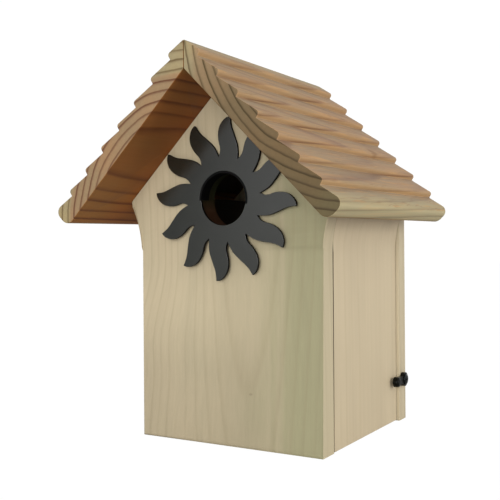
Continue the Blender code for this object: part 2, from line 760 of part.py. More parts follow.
# ------------------------------------------------------------------- turn-button


def button_outline():
    """Round hub at the origin, a waisted arm and a rounder knob forward of it."""
    hub = Vector((0.0, 0.0))
    knob = Vector((-BUTTON_REACH, 0.0))
    hub_turn = math.asin(BUTTON_WAIST / BUTTON_HUB_RADIUS)
    knob_turn = math.asin(BUTTON_WAIST / BUTTON_KNOB_RADIUS)
    outline = arc(hub, BUTTON_HUB_RADIUS, hub_turn - math.pi, math.pi - hub_turn, BUTTON_SEGMENTS)
    outline += arc(knob, BUTTON_KNOB_RADIUS, knob_turn, math.tau - knob_turn, BUTTON_SEGMENTS)
    return outline


def make_turn_button():
    curve = flat_curve(BUTTON_HUB_THICKNESS)
    add_outline(curve, button_outline())
    middle = BUTTON_SEAT_X + BUTTON_HUB_THICKNESS / 2
    pivot = Vector((0.0, BUTTON_PIVOT_Y, BUTTON_HEIGHT))
    matrix = Matrix.Translation(pivot) @ sideways(middle)
    piece = curve_to_piece("turn_button", curve, matrix, BLACK_PLASTIC)
    top = BUTTON_SEAT_X + BUTTON_KNOB_THICKNESS
    knob = turned("button_knob", knob_profile(), BUTTON_SEGMENTS, None, CUTTERS)
    place_along(knob, (top, BUTTON_PIVOT_Y - BUTTON_REACH, BUTTON_HEIGHT), (-1, 0, 0))
    hide_cutter(knob)
    join = piece.modifiers.new("knob", "BOOLEAN")
    join.operation = "UNION"
    join.solver = "EXACT"
    join.object = knob
    place_on_axis(piece, (BUTTON_SEAT_X, BUTTON_PIVOT_Y, BUTTON_HEIGHT))
    return piece


def knob_profile():
    """A short post with a rounded top, a little wider than the arm's end."""
    radius = BUTTON_KNOB_RADIUS + BUTTON_KNOB_LIP
    edge = BUTTON_KNOB_EDGE
    points = [(0.0, 0.0), (radius - edge, 0.0)]
    for step in range(1, EDGE_SEGMENTS + 1):
        angle = math.pi / 2 * step / EDGE_SEGMENTS
        points.append((radius - edge + edge * math.sin(angle), -edge + edge * math.cos(angle)))
    bottom = -BUTTON_KNOB_THICKNESS + BUTTON_KNOB_FOOT
    return points + [(radius, bottom), (0.0, bottom)]


def make_button_screw(back, button):
    start = (BUTTON_SEAT_X + BUTTON_HUB_THICKNESS + GAP, BUTTON_PIVOT_Y, BUTTON_HEIGHT)
    sizes = (BUTTON_SCREW_RADIUS, BUTTON_SCREW_HEAD_RADIUS, BUTTON_SCREW_LENGTH)
    boards = [back, button]
    dome = BUTTON_SCREW_DOME
    wood_screw("button_screw", start, (-1, 0, 0), sizes, boards, BLACK_STEEL, dome)


# ------------------------------------------------------------------------ hanger


def keyhole(head_radius, slot_radius):
    """A round hole with a narrower slot above it, centred on the hanger."""
    low = Vector((0.0, -KEYHOLE_RISE / 2))
    high = Vector((0.0, KEYHOLE_RISE / 2))
    turn = math.acos(slot_radius / head_radius)
    outline = arc(low, head_radius, math.pi - turn, math.tau + turn, KEYHOLE_SEGMENTS)
    return outline + arc(high, slot_radius, 0.0, math.pi, KEYHOLE_SEGMENTS // 2)


def hanger_outline(extra):
    half_width = HANGER_WIDTH / 2 + extra
    half_length = HANGER_LENGTH / 2 + extra
    radius = HANGER_CORNER_RADIUS + extra
    return rounded([
        (half_width, -half_length, radius),
        (half_width, half_length, radius),
        (-half_width, half_length, radius),
        (-half_width, -half_length, radius),
    ])


def at_hanger(y_low, y_high):
    return Matrix.Translation((0.0, 0.0, HANGER_HEIGHT)) @ upright((y_low + y_high) / 2)


def hanger_cutter(name, outline, y_low, y_high):
    curve = flat_curve(y_high - y_low)
    add_outline(curve, outline)
    cutter = curve_to_piece(name, curve, at_hanger(y_low, y_high), None, CUTTERS)
    return hide_cutter(cutter)


def make_hanger(back):
    plate_y = BACK_Y - HANGER_THICKNESS - HANGER_SINK
    seat_y = plate_y - GAP
    subtract(back, hanger_cutter("hanger_seat", hanger_outline(GAP), seat_y, BACK_Y + CUT_PAST))
    margin = KEYHOLE_POCKET_MARGIN
    pocket = keyhole(KEYHOLE_RADIUS + margin, KEYHOLE_SLOT_RADIUS + 2 * margin)
    pocket_y = BACK_Y - KEYHOLE_POCKET_DEPTH
    subtract(back, hanger_cutter("hanger_pocket", pocket, pocket_y, BACK_Y + CUT_PAST))
    curve = flat_curve(HANGER_THICKNESS)
    add_outline(curve, hanger_outline(0.0))
    add_outline(curve, keyhole(KEYHOLE_RADIUS, KEYHOLE_SLOT_RADIUS))
    matrix = at_hanger(plate_y, plate_y + HANGER_THICKNESS)
    plate = curve_to_piece("hanger_plate", curve, matrix, ZINC_STEEL)
    sizes = (HANGER_SCREW_RADIUS, HANGER_SCREW_HEAD_RADIUS, HANGER_SCREW_LENGTH)
    for number, side in enumerate((-1, 1), 1):
        screw_z = HANGER_HEIGHT + side * HANGER_SCREW_REACH
        start = (0.0, plate_y + HANGER_THICKNESS - HANGER_SINK, screw_z)
        name = "hanger_screw_%d" % number
        wood_screw(name, start, (0, -1, 0), sizes, [plate, back], ZINC_STEEL)


# ------------------------------------------------------------------------- build

clear_scene()
PARTS = new_collection("birdhouse")
CUTTERS = new_collection("cutters")

PALE_PINE = finish("pale_pine", (0.56, 0.50, 0.34), 0.62)
WARM_PINE = finish("warm_pine", (0.52, 0.43, 0.29), 0.62)
ROOF_PINE = finish("roof_pine", (0.50, 0.34, 0.22), 0.60)
DOWEL_BEECH = finish("dowel_beech", (0.62, 0.46, 0.30), 0.65)
DARK_METAL = finish("dark_metal", (0.070, 0.078, 0.078), 0.45, 0.3)
BLACK_METAL = finish("black_metal", (0.012, 0.012, 0.012), 0.5, 0.3)
BLACK_PLASTIC = finish("black_plastic", (0.012, 0.012, 0.012), 0.35)
BLACK_STEEL = finish("black_steel", (0.015, 0.015, 0.015), 0.35, 0.6)
BRIGHT_STEEL = finish("bright_steel", (0.60, 0.60, 0.60), 0.30, 1.0)
ZINC_STEEL = finish("zinc_steel", (0.55, 0.55, 0.53), 0.38, 1.0)

front_board = make_front_board()
back_board = make_back_board()
left_wall = make_left_wall()
side_door = make_side_door()
floor_board = make_floor()
roof_left = make_roof_board("roof_board_left", -1)
roof_right = make_roof_board("roof_board_right", 1)

make_sun_plate()
make_entrance_sleeve()

make_roof_dowels(front_board, back_board, (roof_left, roof_right))
make_panel_dowels(front_board, left_wall, floor_board)
make_door_pins(front_board, back_board, side_door)
make_back_screws(back_board, left_wall, floor_board)
make_hanger(back_board)

turn_button = make_turn_button()
make_button_screw(back_board, turn_button)
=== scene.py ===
"""Wooden nest box with a saw-tooth roof, a sun-shaped entrance plate and a side door.

Metres, +Z up, -Y is the front. The boards and the dark fittings are the frame's own solids
with softened edges; dowels, pins and screws are shown as they are, with finer finishes. Every
wood finish is a log: growth rings round a pith line, so faces, edges and end grain of one
board show the same rings. Finishes measure in millimetres, in the object's own frame.
"""

import json
import math

import bmesh
import bpy
from mathutils import Matrix, Vector

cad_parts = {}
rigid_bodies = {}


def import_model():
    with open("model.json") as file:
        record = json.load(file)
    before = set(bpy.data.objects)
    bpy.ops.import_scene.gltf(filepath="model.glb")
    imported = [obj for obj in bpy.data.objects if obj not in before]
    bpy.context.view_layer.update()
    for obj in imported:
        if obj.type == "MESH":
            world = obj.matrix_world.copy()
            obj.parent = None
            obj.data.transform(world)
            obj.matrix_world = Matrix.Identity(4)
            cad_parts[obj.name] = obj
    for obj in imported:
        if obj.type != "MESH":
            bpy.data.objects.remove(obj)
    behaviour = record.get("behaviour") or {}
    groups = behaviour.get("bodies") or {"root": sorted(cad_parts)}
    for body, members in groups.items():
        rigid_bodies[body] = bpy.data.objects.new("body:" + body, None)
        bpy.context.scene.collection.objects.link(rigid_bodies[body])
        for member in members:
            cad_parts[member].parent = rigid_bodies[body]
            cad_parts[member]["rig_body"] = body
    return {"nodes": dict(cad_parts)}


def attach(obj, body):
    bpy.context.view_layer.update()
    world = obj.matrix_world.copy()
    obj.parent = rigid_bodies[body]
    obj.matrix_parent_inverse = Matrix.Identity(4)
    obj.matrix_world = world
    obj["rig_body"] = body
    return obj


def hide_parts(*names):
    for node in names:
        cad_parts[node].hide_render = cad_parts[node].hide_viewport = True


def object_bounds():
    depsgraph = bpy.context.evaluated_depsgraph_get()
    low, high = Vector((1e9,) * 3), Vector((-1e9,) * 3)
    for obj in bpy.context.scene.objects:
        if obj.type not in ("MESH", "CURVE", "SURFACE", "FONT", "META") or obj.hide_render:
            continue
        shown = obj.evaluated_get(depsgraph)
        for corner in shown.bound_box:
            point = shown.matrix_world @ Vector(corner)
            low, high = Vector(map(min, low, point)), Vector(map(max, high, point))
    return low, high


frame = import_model()
cad_low, cad_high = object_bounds()

MM = 0.001
RIGHT_ANGLE = math.radians(90.0)
SLOPE = math.sqrt(0.5)              # sine and cosine of the roof's 45 degrees

# Places that the wood finishes need, in millimetres.
APEX_HEIGHT = 224.5
ROOF_FRONT = -88.0
FIRST_COURSE = 2.4                  # along the slope, from the apex
COURSE_STEP = 17.8
EAVE_NOSE_FROM, EAVE_NOSE_FULL = 112.0, 118.0
NEST_FRONT = -30.0
NEST_BACK = 74.0
NEST_HALF_WIDTH = 50.3              # a side board's inner face lies just inside this
ENTRANCE_HEIGHT = 151.8
BORE_RADIUS = 17.6                  # a little over the hole's own

# Linear colours.
NEST_SHADE = (0.045, 0.034, 0.022)   # painted shade inside the closed nest

CREAM = (0.575, 0.480, 0.318)
CREAM_CLOUD = (0.535, 0.455, 0.300)
CREAM_MIDDLE = (0.500, 0.425, 0.278)
CREAM_RING = (0.27, 0.21, 0.115)
GREEN_DARKENING = (0.362, 0.335, 0.198)
PIN_KNOT = (0.10, 0.075, 0.040)
# painted shade in the entrance bore, for its upper and its lower wall
BORE_UPPER_SHADE = (0.034, 0.034, 0.014)
BORE_LOWER_SHADE = (0.060, 0.026, 0.012)

PALE = (0.52, 0.44, 0.295)
DOOR_PALE = (0.545, 0.450, 0.300)
RING_SHARE = (0.66, 0.60, 0.50)     # of a pale board's colour
FLOOR_PALE = (0.50, 0.41, 0.26)
FLOOR_RING = (0.30, 0.21, 0.11)
BEECH = (0.60, 0.43, 0.27)
BEECH_RING = (0.42, 0.26, 0.13)

HEARTWOOD = (0.375, 0.222, 0.110)
HEARTWOOD_CLOUD = (0.325, 0.220, 0.118)
HEARTWOOD_RING = (0.135, 0.052, 0.024)
SAPWOOD = (0.400, 0.310, 0.155)
SAPWOOD_CLOUD = (0.350, 0.285, 0.160)
SAPWOOD_RING = (0.15, 0.100, 0.042)
WEATHERED = (0.285, 0.222, 0.150)
AMBER_STREAK = (0.46, 0.250, 0.090)
COURSE_NOSE = (0.45, 0.275, 0.125)
EAVE_NOSE = (0.50, 0.430, 0.250)
BROWN_VEIN = (0.235, 0.125, 0.050)
ROOF_KNOT = (0.22, 0.11, 0.04)
DARK_END = (0.082, 0.060, 0.022)
DARK_END_LATE = (0.045, 0.028, 0.010)
DARK_END_RING = (0.085, 0.055, 0.018)
UNDERSIDE_SHADE = (0.76, 0.44, 0.19)      # painted shade for the roof's underside; these three multiply the board's colour
UNDERSIDE_EAVE_SHADE = (0.84, 0.56, 0.27)
UNDERSIDE_WALL_SHADE = (0.95, 0.42, 0.16)

SLATE_COAT = (0.0105, 0.0120, 0.0085)
BLACK_COAT = (0.003, 0.003, 0.003)
PLASTIC = (0.003, 0.003, 0.002)
PLASTIC_RUBBED = (0.005, 0.005, 0.004)
BLACK_STEEL = (0.024, 0.028, 0.028)
ZINC = (0.62, 0.62, 0.60)
BRIGHT_STEEL = (0.66, 0.66, 0.66)
FLOOR_GREY = (0.5, 0.5, 0.5)

# ------------------------------------------------------------------ shader values


class Value:
    """A shader socket that can be written into sums; each operator adds a Math node."""

    def __init__(self, finish, socket):
        self.finish = finish
        self.socket = socket

    def math(self, operation, *others):
        return self.finish.node("ShaderNodeMath", {"operation": operation}, [self, *others])

    def __add__(self, other):
        return self.math("ADD", other)

    def __radd__(self, other):
        return self.math("ADD", other)

    def __sub__(self, other):
        return self.math("SUBTRACT", other)

    def __rsub__(self, other):
        return self.finish.node("ShaderNodeMath", {"operation": "SUBTRACT"}, [other, self])

    def __mul__(self, other):
        return self.math("MULTIPLY", other)

    def __rmul__(self, other):
        return self.math("MULTIPLY", other)

    def __truediv__(self, other):
        return self.math("DIVIDE", other)

    def __pow__(self, other):
        return self.math("POWER", other)

    def __neg__(self):
        return self.math("MULTIPLY", -1.0)

    def rise(self, low, high, to_low=0.0, to_high=1.0):
        """Smooth step from to_low at low to to_high at high."""
        return self.finish.node(
            "ShaderNodeMapRange",
            {"interpolation_type": "SMOOTHSTEP"},
            {"Value": self, "From Min": low, "From Max": high, "To Min": to_low, "To Max": to_high},
        )

    def bell(self, middle, width):
        """1 at middle, falling away on both sides over width."""
        away = (self - middle) / width
        return (-(away * away)).math("EXPONENT")


class Finish:
    """One material and its nodes."""

    def __init__(self, name):
        self.material = bpy.data.materials.new(name)
        self.material.use_nodes = True
        self.nodes = self.material.node_tree.nodes
        self.links = self.material.node_tree.links
        self.shader = self.nodes["Principled BSDF"]
        place = self.node("ShaderNodeTexCoord", output="Object")
        self.place = self.node(
            "ShaderNodeVectorMath", {"operation": "SCALE"}, {0: place, "Scale": 1.0 / MM}
        )
        self.x, self.y, self.z = self.split(self.place)
        self.facing = self.split(self.node("ShaderNodeTexCoord", output="Normal"))

    def node(self, kind, settings=None, inputs=None, output=0):
        """Adds a node: its settings first, then its sockets; gives one output back."""
        new = self.nodes.new(kind)
        for key, value in (settings or {}).items():
            if key == "stops":
                ramp = new.color_ramp
                while len(ramp.elements) < len(value):
                    ramp.elements.new(0.5)
                for stop, (position, level) in zip(ramp.elements, value):
                    stop.position = position
                    stop.color = (level, level, level, 1.0)
            else:
                setattr(new, key, value)
        pairs = inputs.items() if isinstance(inputs, dict) else enumerate(inputs or [])
        for key, value in pairs:
            if isinstance(value, Value):
                self.links.new(value.socket, new.inputs[key])
            else:
                new.inputs[key].default_value = value
        return Value(self, new.outputs[output])

    def split(self, vector):
        """The vector's three values."""
        parts = self.node("ShaderNodeSeparateXYZ", inputs=[vector]).socket.node
        return [Value(self, parts.outputs[axis]) for axis in "XYZ"]

    def vector(self, x, y, z):
        return self.node("ShaderNodeCombineXYZ", inputs=[x, y, z])

    def noise(self, place, scale, detail=2.0, roughness=0.5):
        """Noise from 0 to 1 at a place in millimetres."""
        sockets = {"Vector": place, "Scale": scale, "Detail": detail, "Roughness": roughness}
        return self.node("ShaderNodeTexNoise", {"noise_dimensions": "3D"}, sockets)

    def mix(self, share, first, second, blend="MIX"):
        """Colour between first and second."""
        new = self.nodes.new("ShaderNodeMix")
        new.data_type = "RGBA"
        new.blend_type = blend
        for key, value in ((0, share), (6, first), (7, second)):
            if isinstance(value, Value):
                self.links.new(value.socket, new.inputs[key])
            elif key == 0:
                new.inputs[key].default_value = value
            else:
                new.inputs[key].default_value = (*value, 1.0)
        return Value(self, new.outputs[2])

    def ramp(self, value, stops):
        return self.node("ShaderNodeValToRGB", {"stops": stops}, [value])

    def bump(self, height, depth):
        """Normal from a height of 0 to 1 that is depth millimetres high."""
        sockets = {"Height": height, "Distance": depth * MM, "Strength": 1.0}
        return self.node("ShaderNodeBump", inputs=sockets)

    def set(self, **values):
        """Sets the shader's own sockets; spaces in their names are written as _."""
        for key, value in values.items():
            socket = self.shader.inputs[key.replace("_", " ")]
            if isinstance(value, Value):
                self.links.new(value.socket, socket)
            elif isinstance(value, tuple):
                socket.default_value = (*value, 1.0)
            else:
                socket.default_value = value
        return self.material


# --------------------------------------------------------------------- wood finishes

# How dark a year's growth is, from its start to its end.
YEAR = ((0.0, 0.45), (0.06, 0.05), (0.45, 0.0), (0.68, 0.12), (0.82, 0.60), (0.92, 1.0), (1.0, 0.6))


class Log:
    """Growth rings in a board: how far along each ring a point is, and its fibres."""

    def __init__(self, finish, across, radial, along, spacing, wander=2.0, offset=0.0):
        """across and radial are millimetres from the pith line, along is along the grain."""
        drift = finish.noise(finish.vector(across * 0.6, radial * 0.6, along * 0.16), 0.05, 1.0)
        ripple = finish.noise(finish.vector(across, radial, along * 0.12), 0.22, 1.0)
        radius = (across * across + radial * radial).math("SQRT")
        self.radius = radius + (drift - 0.5) * (wander * 3.0) + (ripple - 0.5) * (wander * 0.35)
        turns = self.radius / spacing + offset
        self.late = finish.ramp(turns.math("FRACT"), YEAR)
        count = {"W": turns.math("FLOOR")}
        self.year = finish.node("ShaderNodeTexWhiteNoise", {"noise_dimensions": "1D"}, count)
        self.fibre = finish.noise(finish.vector(across, radial, along * 0.018), 2.4, 3.0, 0.65)
        self.streak = finish.noise(finish.vector(across, radial, along * 0.03), 0.5, 2.0, 0.6)
        self.cloud = finish.noise(finish.vector(across, radial, along * 0.4), 0.035, 2.0)


def wood_surface(finish, log, colour, ring_relief=0.03, fibre_relief=0.05, dull=0.58):
    """Bump and gloss that every planed board shares."""
    height = log.late * ring_relief + log.fibre * fibre_relief
    normal = finish.bump(height, 1.0)
    rough = dull + (log.fibre - 0.5) * 0.16 + log.late * -0.06
    return finish.set(Base_Color=colour, Roughness=rough, Normal=normal, Specular_IOR_Level=0.25)


def shade(finish, colour, amount):
    """Darkens or lightens a colour by a value."""
    grey = finish.node("ShaderNodeCombineColor", inputs=[amount, amount, amount])
    return finish.mix(1.0, colour, grey, "MULTIPLY")


def grain_tone(log, fibre=0.10, streak=0.10):
    """Lightness that runs in fine fibres and longer streaks."""
    return 1.0 + (log.fibre - 0.5) * fibre + (log.streak - 0.5) * streak


def nest_shade(finish, colour, share):
    """Paints shade on a board where it faces the nest."""
    return finish.mix(share * 0.9, colour, NEST_SHADE)


def front_pine():
    """Flat-sawn pale pine: slanting grain on the left, greener and darker towards the right."""
    finish = Finish("front_pine")
    x, y, z = finish.x, finish.y, finish.z
    slant = z.rise(58.0, 114.0) * x.rise(-4.0, -52.0) * 12.0
    foot = z.rise(46.0, -4.0) * x.rise(0.0, -50.0) * 5.0
    across = x - 16.0 - slant + foot
    radial = y + 3.0 + (z - 34.0) * 0.045
    log = Log(finish, across, radial, z, 5.2, 0.9, 0.02)
    face = (-finish.facing[1]).rise(0.5, 0.9)
    light = finish.mix(log.cloud.rise(0.35, 0.7), CREAM, CREAM_CLOUD)
    # The front face turns greener and darker towards the right, and greener in a patch low down.
    cream = finish.mix(x.rise(-30.0, 12.0), light, CREAM_MIDDLE)
    green_patch = x.bell(17.0, 9.0) * z.bell(22.0, 26.0) * 0.35
    band = finish.noise(finish.vector(across, radial * 0.2, z * 0.02), 0.16, 2.0)
    edge = x + (log.cloud - 0.5) * 12.0 + (band - 0.5) * 30.0
    green = (edge.rise(14.0, 58.0) + green_patch) * face
    colour = finish.mix(green.rise(0.0, 1.0), cream, GREEN_DARKENING)
    ringed = finish.mix(log.late * (0.05 + log.year * 0.16), colour, CREAM_RING)
    knot = (((x - 16.7) / 1.3) ** 2.0 + ((z - 33.4) / 0.8) ** 2.0).math("SQRT").rise(1.2, 0.5)
    spotted = finish.mix(knot * 0.25, ringed, PIN_KNOT)
    foot_shade = z.rise(85.0, 40.0) * x.rise(50.0, 15.0) * 0.12
    tone = grain_tone(log, 0.12, 0.14) + (band - 0.5) * 0.10 - foot_shade
    shown = shade(finish, spotted, tone)
    # Painted shade in the entrance bore: the wall is darkened, olive where it faces down and
    # reddish where it faces up.
    from_entrance = (x * x + (z - ENTRANCE_HEIGHT) ** 2.0).math("SQRT")
    bore = from_entrance.rise(BORE_RADIUS + 0.6, BORE_RADIUS)
    dark = finish.mix(finish.facing[2].rise(-0.3, 0.5), BORE_UPPER_SHADE, BORE_LOWER_SHADE)
    lined = finish.mix(bore, shown, dark)
    gloom = nest_shade(finish, lined, finish.facing[1].rise(0.5, 0.9))
    return wood_surface(finish, log, gloom, 0.02, 0.03)


def plain_pine(name, pith, tilt, light, inner, ring_strength=0.3, spacing=5.0):
    """Pale upright board with straight grain.

    inner is the axis, 0 or 1, and the sign of the side that faces the nest, which gets painted
    shade.
    A board that faces sideways gets painted shade on its front and back edges too, in the gaps.
    """
    finish = Finish(name)
    x, y, z = finish.x, finish.y, finish.z
    log = Log(finish, x - pith[0], y - pith[1] + z * tilt, z, spacing, 1.2)
    colour = finish.mix(log.cloud.rise(0.35, 0.7), light, [level * 0.95 for level in light])
    late = [level * share for level, share in zip(light, RING_SHARE)]
    ringed = finish.mix(log.late * (ring_strength + log.year * 0.15), colour, late)
    band = finish.noise(finish.vector(x, y, z * 0.015), 0.22, 2.0)
    shown = shade(finish, ringed, grain_tone(log) + (band - 0.5) * 0.10)
    axis, sign = inner
    # Painted shade on the face towards the nest and, for a sideways board, on its edges in the
    # gaps.
    within = x.math("ABSOLUTE").rise(NEST_HALF_WIDTH + 0.3, NEST_HALF_WIDTH)
    inside = (finish.facing[axis] * sign).rise(0.5, 0.9) * within
    if axis == 0:
        joint_shade = finish.facing[1].math("ABSOLUTE").rise(0.7, 0.9)
        inside = inside.math("MAXIMUM", joint_shade * 0.85)
    return wood_surface(finish, log, nest_shade(finish, shown, inside), 0.02, 0.03)


def floor_pine():
    """The floor, with painted shade on top like the nest's walls."""
    finish = Finish("floor_pine")
    log = Log(finish, finish.x - 20.0, finish.z + 40.0, finish.y, 5.0, 1.2)
    ringed = shade(finish, finish.mix(log.late * 0.5, FLOOR_PALE, FLOOR_RING), grain_tone(log))
    return wood_surface(finish, log, nest_shade(finish, ringed, finish.facing[2].rise(0.5, 0.9)))


def roof_pine(side):
    """Saw-tooth roof board: reddish heartwood, paler sapwood; side is -1 left, 1 right."""
    right = side > 0
    finish = Finish("roof_pine_right" if right else "roof_pine_left")
    x, y, z = finish.x, finish.y, finish.z
    outward = x * side
    from_front = y - ROOF_FRONT
    along = (outward - z + APEX_HEIGHT) * SLOPE
    above = (outward + z - APEX_HEIGHT) * SLOPE
    face_x, face_y, face_z = finish.facing
    upward = (face_x * side + face_z) * SLOPE
    end = face_y.math("ABSOLUTE").rise(0.6, 0.9)
    under = upward.rise(-0.3, -0.8)
    tread = upward.rise(0.5, 0.9)
    riser = (1.0 - tread) * (1.0 - under) * (1.0 - end)

    if right:
        across = x - 106.8 - from_front * 0.055
        radial = z - 251.6 - from_front * 0.030
        log = Log(finish, across, radial, y, 5.05, 1.5, 0.85)
        sap = (along.rise(104.0, 120.0) + outward.rise(11.0, 3.0)).math("MINIMUM", 1.0)
    else:
        across = x + 4.9 + from_front * 0.03
        radial = z - 141.6 - from_front * 0.02
        log = Log(finish, across, radial, y, 5.12, 1.5, 0.70)
        sap = log.radius.rise(80.0, 82.5)

    # The wood between the rings, and what sun and rain did to the courses.
    cloud = log.cloud.rise(0.3, 0.7)
    heart = finish.mix(cloud, HEARTWOOD, HEARTWOOD_CLOUD)
    ground = finish.mix(sap, heart, finish.mix(cloud, SAPWOOD, SAPWOOD_CLOUD))
    course = ((along - FIRST_COURSE) / COURSE_STEP).math("FRACT")
    ground = finish.mix(tread * course.rise(0.80, 0.05) * 0.6, ground, WEATHERED)
    glow = (log.streak - 0.5).rise(0.03, 0.13) * (tread + riser) * 0.5
    ground = finish.mix(glow, ground, AMBER_STREAK)
    nose = finish.mix(along.rise(EAVE_NOSE_FROM, EAVE_NOSE_FULL), COURSE_NOSE, EAVE_NOSE)
    ground = finish.mix(riser * 0.55, ground, nose)
    slanted = along + from_front * 0.075
    vein = finish.noise(finish.vector(slanted, above, y * 0.025), 0.30, 3.0, 0.55)
    vein = (vein - 0.5).math("ABSOLUTE").rise(0.025, 0.0) * tread
    ground = finish.mix(vein * 0.5, ground, BROWN_VEIN)

    # The rings, strongest on end grain.
    lines = finish.mix(sap, HEARTWOOD_RING, SAPWOOD_RING)
    if right:
        lines = finish.mix(end, lines, DARK_END_RING)
    strength = (0.40 + log.year * 0.35) * (1.0 - tread * 0.25) + end * 0.38 + under * 0.2
    ringed = finish.mix(log.late * strength, ground, lines)
    if right:
        knot_y = (y - 47.0) / 1.5
        knot_along = along - 70.0
        knot = (knot_y * knot_y + knot_along * knot_along).math("SQRT")
        ringed = finish.mix(knot.rise(5.0, 2.0) * 0.7, ringed, ROOF_KNOT)
        # The right board's end grain, darker from the ridge towards the eave.
        dim = end * (along * 0.015).math("MINIMUM", along * 0.003 + 0.46)
        ringed = finish.mix(dim, ringed, finish.mix(log.late, DARK_END, DARK_END_LATE))
    shown = shade(finish, ringed, grain_tone(log, 0.18, 0.20))

    # Painted shade on the underside, lighter towards the eave and deeper and redder towards the
    # walls, where the heartwood is redder too; deeper still over the nest.
    under_shade = finish.mix(along.rise(60.0, 105.0), UNDERSIDE_SHADE, UNDERSIDE_EAVE_SHADE)
    under_shade = finish.mix(y.rise(-75.0, -45.0) * 0.4, under_shade, UNDERSIDE_WALL_SHADE)
    shown = finish.mix(under, shown, finish.mix(1.0, shown, under_shade, "MULTIPLY"))
    past_front = y.rise(NEST_FRONT - 0.5, NEST_FRONT + 0.5)
    short_of_back = y.rise(NEST_BACK + 0.5, NEST_BACK - 0.5)
    nest = under * past_front * short_of_back * outward.rise(64.0, 61.0)
    return wood_surface(finish, log, nest_shade(finish, shown, nest), 0.06, 0.06, 0.62)


def beech():
    finish = Finish("beech")
    log = Log(finish, finish.x + 30.0, finish.z + 10.0, finish.y, 2.0, 0.5)
    colour = finish.mix(log.late * 0.3, BEECH, BEECH_RING)
    return wood_surface(finish, log, shade(finish, colour, 0.92 + log.fibre * 0.14))


# -------------------------------------------------------------------- other finishes


def powder_coat(name, colour, roughness, specular):
    finish = Finish(name)
    orange_peel = finish.noise(finish.place, 2.2, 2.0)
    grime = finish.noise(finish.place, 0.06, 3.0)
    dull = roughness + (grime - 0.5) * 0.10 + (orange_peel - 0.5) * 0.05
    shown = finish.mix(grime.rise(0.3, 0.8), colour, [level * 1.25 for level in colour])
    normal = finish.bump(orange_peel, 0.012)
    return finish.set(
        Base_Color=shown, Roughness=dull, Normal=normal, Specular_IOR_Level=specular
    )


def steel(name, colour, roughness):
    finish = Finish(name)
    spangle = finish.noise(finish.place, 1.1, 2.0)
    scratch = finish.noise(finish.vector(finish.x * 0.2, finish.y * 4.0, finish.z * 4.0), 1.0, 2.0)
    tint = finish.mix(spangle.rise(0.3, 0.7), colour, [level * 0.82 for level in colour])
    dull = roughness + (spangle - 0.5) * 0.15 + (scratch - 0.5) * 0.10
    return finish.set(
        Base_Color=tint, Roughness=dull, Normal=finish.bump(scratch, 0.01), Metallic=1.0
    )


def plastic():
    finish = Finish("moulded_plastic")
    grain = finish.noise(finish.place, 3.0, 2.0)
    rub = finish.noise(finish.place, 0.5, 2.0)
    colour = finish.mix(rub.rise(0.4, 0.8), PLASTIC, PLASTIC_RUBBED)
    dull = 0.30 + (rub - 0.5) * 0.12
    normal = finish.bump(grain, 0.008)
    return finish.set(Base_Color=colour, Roughness=dull, Normal=normal, Specular_IOR_Level=0.1)


# ------------------------------------------------------------------------- pieces


WELD = 0.002 * MM
FLAT_ANGLE = math.radians(0.5)
SHARP_ANGLE = math.radians(35.0)


def merged_copy(node):
    """A node's mesh as one welded bmesh with its flat faces whole again."""
    shape = bmesh.new()
    shape.from_mesh(frame["nodes"][node].data)
    bmesh.ops.remove_doubles(shape, verts=shape.verts, dist=WELD)
    bmesh.ops.dissolve_limit(shape, angle_limit=FLAT_ANGLE, verts=shape.verts, edges=shape.edges)
    return shape


def stand_in(name, node, finish, edge):
    """Shows a node as a welded copy whose sharp edges are rounded by edge millimetres."""
    shape = merged_copy(node)
    mesh = bpy.data.meshes.new(name)
    shape.to_mesh(mesh)
    shape.free()
    mesh.shade_smooth()
    mesh.set_sharp_from_angle(angle=SHARP_ANGLE)
    piece = bpy.data.objects.new(name, mesh)
    bpy.context.scene.collection.objects.link(piece)
    mesh.materials.append(finish)
    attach(piece, frame["nodes"][node]["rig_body"])
    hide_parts(node)
    rounding = piece.modifiers.new("soften", "BEVEL")
    rounding.width = edge * MM
    rounding.segments = 2
    rounding.limit_method = "ANGLE"
    rounding.angle_limit = SHARP_ANGLE
    rounding.harden_normals = True
    return piece


def repaint(node, finish):
    """Gives a node that is shown as it is a finer finish."""
    mesh = frame["nodes"][node].data
    mesh.materials.clear()
    mesh.materials.append(finish)


back_pine = plain_pine("back_pine", (20.0, 40.0), 0.02, PALE, (1, -1.0))
wall_pine = plain_pine("wall_pine", (-100.0, 60.0), 0.03, PALE, (0, 1.0))
door_pine = plain_pine("door_pine", (-10.0, 60.0), 0.02, DOOR_PALE, (0, -1.0), 0.05, 6.5)
boards = (
    ("front_board", front_pine(), "pale_pine", 0.5),
    ("back_board", back_pine, "pale_pine", 0.5),
    ("left_wall", wall_pine, "pale_pine", 0.4),
    ("floor_board", floor_pine(), "pale_pine", 0.4),
    ("side_door", door_pine, "warm_pine", 0.5),
    ("roof_board_left", roof_pine(-1), "roof_pine", 0.5),
    ("roof_board_right", roof_pine(1), "roof_pine", 0.5),
)
for node, finish, slot, edge in boards:
    stand_in(node + "_wood", node, finish, edge)

slate_coat = powder_coat("slate_coat", SLATE_COAT, 0.2, 0.95)
black_coat = powder_coat("black_coat", BLACK_COAT, 0.6, 0.1)
black_screw = steel("blackened_steel", BLACK_STEEL, 0.2)
zinc = steel("zinc_plate", ZINC, 0.36)
bright = steel("drawn_wire", BRIGHT_STEEL, 0.28)
dowel_wood = beech()

# The sun plate's cut edges are blacker than its face.
plate = stand_in("sun_plate_cut", "sun_plate", slate_coat, 0.12)
plate.data.materials.append(black_coat)
for face in plate.data.polygons:
    face.material_index = int(abs(face.normal.y) < 0.5)

stand_in("half_sleeve", "entrance_sleeve", black_coat, 0.15)
stand_in("turn_button_moulding", "turn_button", plastic(), 0.3)
stand_in("button_screw_head", "button_screw", black_screw, 0.1)

